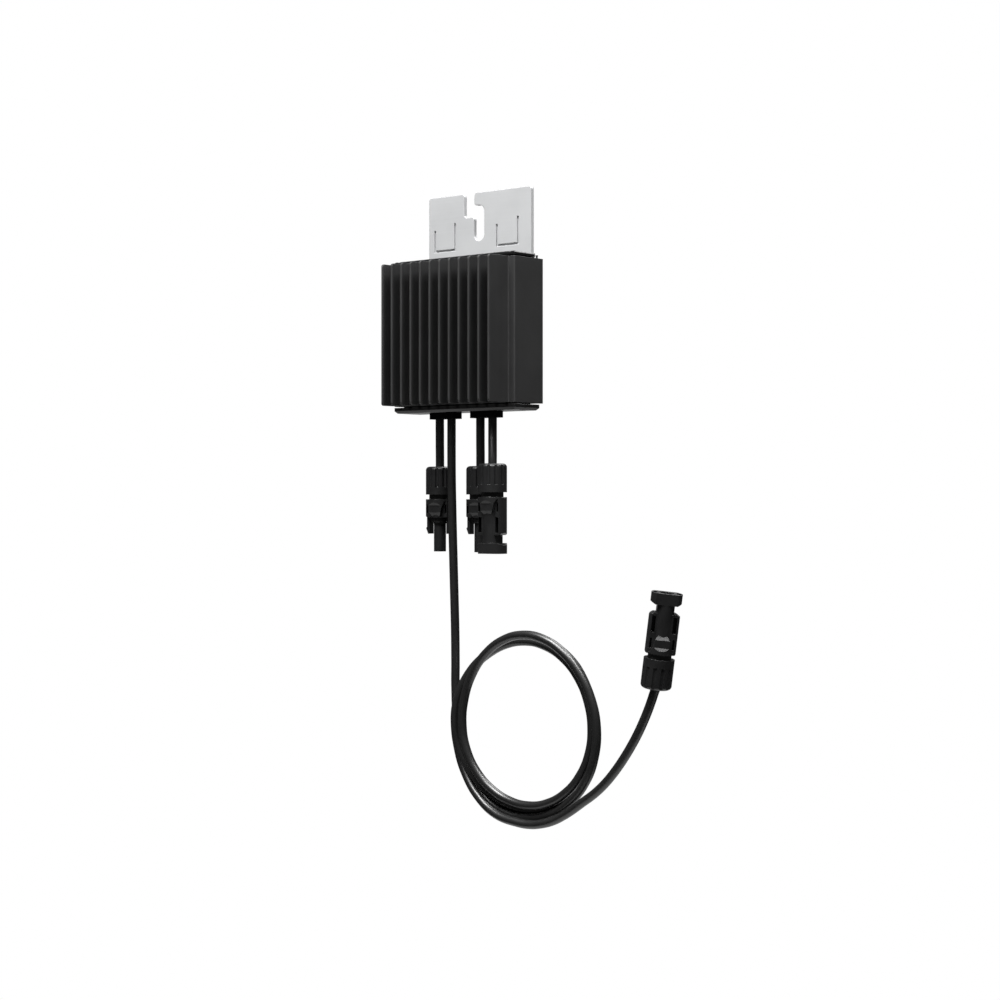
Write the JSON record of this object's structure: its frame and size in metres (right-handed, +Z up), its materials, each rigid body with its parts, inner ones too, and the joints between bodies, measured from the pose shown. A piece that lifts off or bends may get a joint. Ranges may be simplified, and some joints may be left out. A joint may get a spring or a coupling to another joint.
{
  "type": "power optimizer",
  "caption": "Finned metal power converter on a slotted hanging bracket, with rubber grommets and weatherproof leads ending in latching plug and socket connectors, the long lead coiled.",
  "frame": {"origin": "centre of the round lower end of the bracket's hanging slot, on the bracket's back face", "axes": "+Y out of the bracket's back face, fins toward -Y, +Z up along the slot, +X to the right seen from the fins"},
  "size_m": [0.2867, 0.057, 0.5014],
  "materials": {
    "anodised_aluminium": "black anodised, satin",
    "cover_plastic": "satin black",
    "seal_rubber": "matt black",
    "screw_steel": "plain",
    "bracket_steel": "satin zinc",
    "board_laminate": "solder mask",
    "part_black": "moulded",
    "pad_grey": "matt",
    "lead_jacket": "satin black",
    "connector_plastic": "satin black",
    "contact_metal": "plain"
  },
  "bodies": {
    "root": {"heatsink_housing": "anodised_aluminium", "top_cover": "cover_plastic", "bottom_cover": "cover_plastic", "top_gasket": "seal_rubber", "bottom_gasket": "seal_rubber", "top_cover_screws": "screw_steel", "bottom_cover_screws": "screw_steel", "mounting_bracket": "bracket_steel", "bracket_screws": "screw_steel", "earth_pin": "screw_steel", "left_grommet": "seal_rubber", "right_grommet": "seal_rubber", "circuit_board": "board_laminate", "power_inductor": "part_black", "filter_capacitors": "part_black", "power_transistors": "part_black", "thermal_pad": "pad_grey", "lead_terminals": "part_black", "lead_cores": "lead_jacket", "short_output_lead": "lead_jacket", "long_output_drop": "lead_jacket", "long_output_coil": "lead_jacket", "long_output_tail": "lead_jacket", "left_input_lead": "lead_jacket", "right_input_lead": "lead_jacket", "short_output_nut": "connector_plastic", "long_output_nut": "connector_plastic", "left_input_nut": "connector_plastic", "right_input_nut": "connector_plastic", "short_output_plug": "connector_plastic", "long_output_socket": "connector_plastic", "left_input_plug": "connector_plastic", "right_input_socket": "connector_plastic", "short_output_seal": "seal_rubber", "left_input_seal": "seal_rubber", "short_output_sleeve": "contact_metal", "long_output_pin": "contact_metal", "left_input_sleeve": "contact_metal", "right_input_pin": "contact_metal"}
  },
  "joints": []
}
